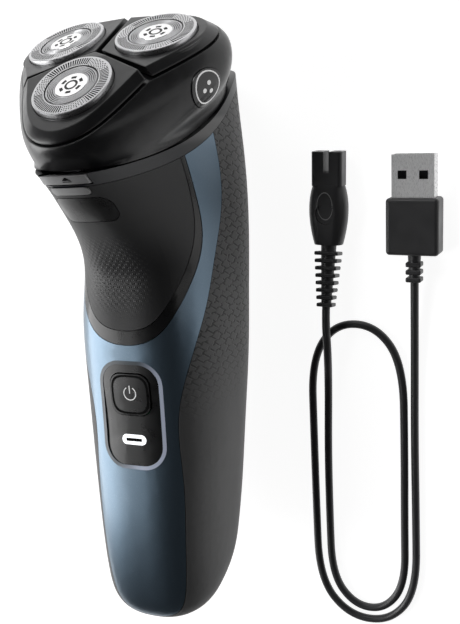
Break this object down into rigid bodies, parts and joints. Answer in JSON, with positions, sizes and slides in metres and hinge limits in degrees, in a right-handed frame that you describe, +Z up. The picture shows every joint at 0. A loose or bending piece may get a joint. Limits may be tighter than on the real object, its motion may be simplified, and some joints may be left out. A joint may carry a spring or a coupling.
{
  "type": "electric shaver",
  "caption": "Rotary electric shaver with tilting heads, a hinged flip-open shaving unit, a power button, and a USB charging lead lying beside it.",
  "frame": {"origin": "centre of the shaver's footprint on the surface it lies on, lead left out", "axes": "+Y along the handle towards the shaving heads, +Z up from the shaver's back to its front, +X to the user's right of the heads"},
  "size_m": [0.1105, 0.1901, 0.0736],
  "materials": {
    "blue_shell": "blue slate metallic lacquer, satin gloss",
    "gloss_black": "polished black",
    "soft_black": "soft-touch black",
    "grip_rubber": "moulded grip with a scale pattern",
    "grey_plastic": "satin mid grey",
    "light_rim": "light blue satin rim",
    "white_light": "clear white light guide",
    "guard_steel": "fine-slotted shaving steel",
    "cutter_steel": "ground steel",
    "steel": "plain steel",
    "gear_plastic": "natural acetal",
    "frame_plastic": "dark moulded frame",
    "board_green": "circuit board",
    "cell_wrap": "battery sleeve",
    "copper": "wound armature",
    "magnet": "ferrite",
    "seal_rubber": "seal",
    "cord_rubber": "black cord jacket and mouldings",
    "usb_steel": "nickel-plated shell",
    "badge_white": "black badge with a printed ring",
    "contact_brass": "plated contacts"
  },
  "bodies": {
    "handle": {"front_shell": "blue_shell", "neck_trim": "gloss_black", "neck_panel": "soft_black", "label_plate": "gloss_black", "tab_rest": "grey_plastic", "panel_rim": "light_rim", "control_panel": "gloss_black", "light_guide": "white_light", "rear_grip": "grip_rubber", "collar": "soft_black", "inlet_socket": "soft_black", "inlet_pins": "contact_brass", "inner_frame": "frame_plastic", "battery": "cell_wrap", "battery_tabs": "contact_brass", "circuit_board": "board_green", "tact_switch": "frame_plastic", "button_spring": "steel", "release_spring": "steel", "gearbox_cover": "frame_plastic", "gearbox_base": "frame_plastic", "deck": "frame_plastic", "hinge_pin": "steel", "hinge_lugs": "soft_black", "motor_can": "steel", "motor_magnets": "magnet", "spindle_seals": "seal_rubber", "gearbox_screws": "steel", "charging_cord": "cord_rubber", "connector_body": "cord_rubber", "connector_relief": "cord_rubber", "usb_grip": "cord_rubber", "usb_shell": "usb_steel", "usb_relief": "cord_rubber"},
    "button": {"power_button": "gloss_black"},
    "release": {"release_tab": "grey_plastic"},
    "shaving_unit": {"head_housing": "gloss_black", "head_frame": "frame_plastic", "unit_hinge": "soft_black", "latch_hook": "frame_plastic", "badge": "badge_white"},
    "rotor": {"motor_armature": "copper", "motor_shaft": "steel", "drive_gear": "gear_plastic"},
    "spindle_drive_front": {"spindle_gear_front": "gear_plastic", "spindle_front": "steel"},
    "pod_holder_front": {"pod_front": "gloss_black"},
    "shaving_ring_front": {"guard_front": "guard_steel"},
    "cutter_wheel_front": {"cutter_front": "cutter_steel"},
    "spindle_drive_right": {"spindle_gear_right": "gear_plastic", "spindle_right": "steel"},
    "pod_holder_right": {"pod_right": "gloss_black"},
    "shaving_ring_right": {"guard_right": "guard_steel"},
    "cutter_wheel_right": {"cutter_right": "cutter_steel"},
    "spindle_drive_left": {"spindle_gear_left": "gear_plastic", "spindle_left": "steel"},
    "pod_holder_left": {"pod_left": "gloss_black"},
    "shaving_ring_left": {"guard_left": "guard_steel"},
    "cutter_wheel_left": {"cutter_left": "cutter_steel"}
  },
  "joints": [
    {"name": "button_press", "type": "slide", "parent": "handle", "child": "button", "axis": [0, 0, -1], "range_m": [0, 0.0008], "stiffness_N_per_m": 1500, "deforming": ["button_spring"]},
    {"name": "release_press", "type": "slide", "parent": "handle", "child": "release", "axis": [0, 0, -1], "range_m": [0, 0.001], "stiffness_N_per_m": 1500, "deforming": ["release_spring"]},
    {"name": "unit_flip", "type": "hinge", "parent": "handle", "child": "shaving_unit", "pos_m": [0, 0.0741, 0.005], "axis": [-1, 0, 0], "range_deg": [0, 100]},
    {"name": "motor_spin", "type": "hinge", "parent": "handle", "child": "rotor", "pos_m": [0, 0.058, 0.0368], "axis": [0, 0.866, 0.5], "continuous": true},
    {"name": "spindle_spin_front", "type": "hinge", "parent": "handle", "child": "spindle_drive_front", "pos_m": [0, 0.05018, 0.05035], "axis": [0, 0.866, 0.5], "continuous": true},
    {"name": "pod_tilt_front", "type": "hinge", "parent": "shaving_unit", "child": "pod_holder_front", "pos_m": [0, 0.06784, 0.06055], "axis": [-1, 0, 0], "range_deg": [0, 3], "stiffness_Nm_per_rad": 0.6},
    {"name": "ring_float_front", "type": "slide", "parent": "pod_holder_front", "child": "shaving_ring_front", "axis": [0, -0.7727, -0.6347], "range_m": [0, 0.0008], "stiffness_N_per_m": 1200},
    {"name": "cutter_spin_front", "type": "hinge", "parent": "shaving_ring_front", "child": "cutter_wheel_front", "pos_m": [0, 0.06915, 0.06216], "axis": [0, 0.7727, 0.6347], "continuous": true},
    {"name": "spindle_spin_right", "type": "hinge", "parent": "handle", "child": "spindle_drive_right", "pos_m": [0.01355, 0.06191, 0.03002], "axis": [0, 0.866, 0.5], "continuous": true},
    {"name": "pod_tilt_right", "type": "hinge", "parent": "shaving_unit", "child": "pod_holder_right", "pos_m": [0.01355, 0.07958, 0.04022], "axis": [0.5, -0.433, 0.75], "range_deg": [0, 3], "stiffness_Nm_per_rad": 0.6},
    {"name": "ring_float_right", "type": "slide", "parent": "pod_holder_right", "child": "shaving_ring_right", "axis": [-0.0679, -0.883, -0.4645], "range_m": [0, 0.0008], "stiffness_N_per_m": 1200},
    {"name": "cutter_spin_right", "type": "hinge", "parent": "shaving_ring_right", "child": "cutter_wheel_right", "pos_m": [0.01386, 0.08139, 0.04106], "axis": [0.0679, 0.883, 0.4645], "continuous": true},
    {"name": "spindle_spin_left", "type": "hinge", "parent": "handle", "child": "spindle_drive_left", "pos_m": [-0.01355, 0.06191, 0.03002], "axis": [0, 0.866, 0.5], "continuous": true},
    {"name": "pod_tilt_left", "type": "hinge", "parent": "shaving_unit", "child": "pod_holder_left", "pos_m": [-0.01355, 0.07958, 0.04022], "axis": [0.5, 0.433, -0.75], "range_deg": [0, 3], "stiffness_Nm_per_rad": 0.6},
    {"name": "ring_float_left", "type": "slide", "parent": "pod_holder_left", "child": "shaving_ring_left", "axis": [0.0679, -0.883, -0.4645], "range_m": [0, 0.0008], "stiffness_N_per_m": 1200},
    {"name": "cutter_spin_left", "type": "hinge", "parent": "shaving_ring_left", "child": "cutter_wheel_left", "pos_m": [-0.01386, 0.08139, 0.04106], "axis": [-0.0679, 0.883, 0.4645], "continuous": true}
  ],
  "couplings": [
    {"joint": "spindle_spin_front", "follows": "motor_spin", "ratio": -1.5},
    {"joint": "cutter_spin_front", "follows": "motor_spin", "ratio": -1.5},
    {"joint": "spindle_spin_right", "follows": "motor_spin", "ratio": -1.5},
    {"joint": "cutter_spin_right", "follows": "motor_spin", "ratio": -1.5},
    {"joint": "spindle_spin_left", "follows": "motor_spin", "ratio": -1.5},
    {"joint": "cutter_spin_left", "follows": "motor_spin", "ratio": -1.5}
  ]
}
